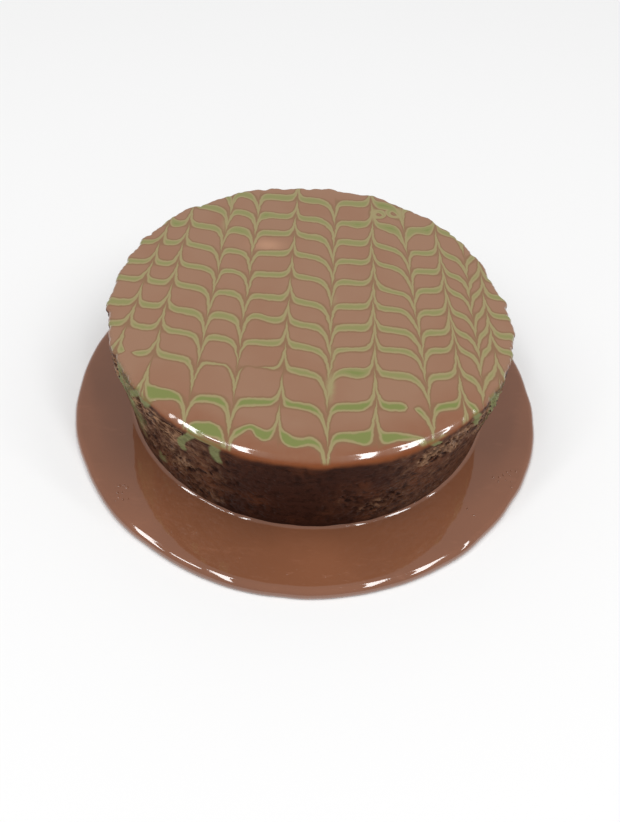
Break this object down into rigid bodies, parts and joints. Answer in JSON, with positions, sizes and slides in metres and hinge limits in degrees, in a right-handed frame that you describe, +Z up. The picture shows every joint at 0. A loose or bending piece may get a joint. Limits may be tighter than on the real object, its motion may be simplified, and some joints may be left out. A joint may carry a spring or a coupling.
{
  "type": "sachertorte cake",
  "caption": "Whole round chocolate torte under poured glaze, with feathered icing over its top and a pool of set glaze round its foot.",
  "frame": {"origin": "centre of the cake's flat base, on the surface that it stands on", "axes": "+Z up through the cake, -Y towards the front that the picture shows, +X to the right of it"},
  "size_m": [0.2979, 0.2981, 0.0743],
  "materials": {
    "cake_glaze": "glossy milk chocolate glaze, thin and dark over the crumb at the side",
    "pool_glaze": "smooth glossy set chocolate glaze"
  },
  "bodies": {
    "root": {"glazed_cake": "cake_glaze", "glaze_pool": "pool_glaze"}
  },
  "joints": []
}
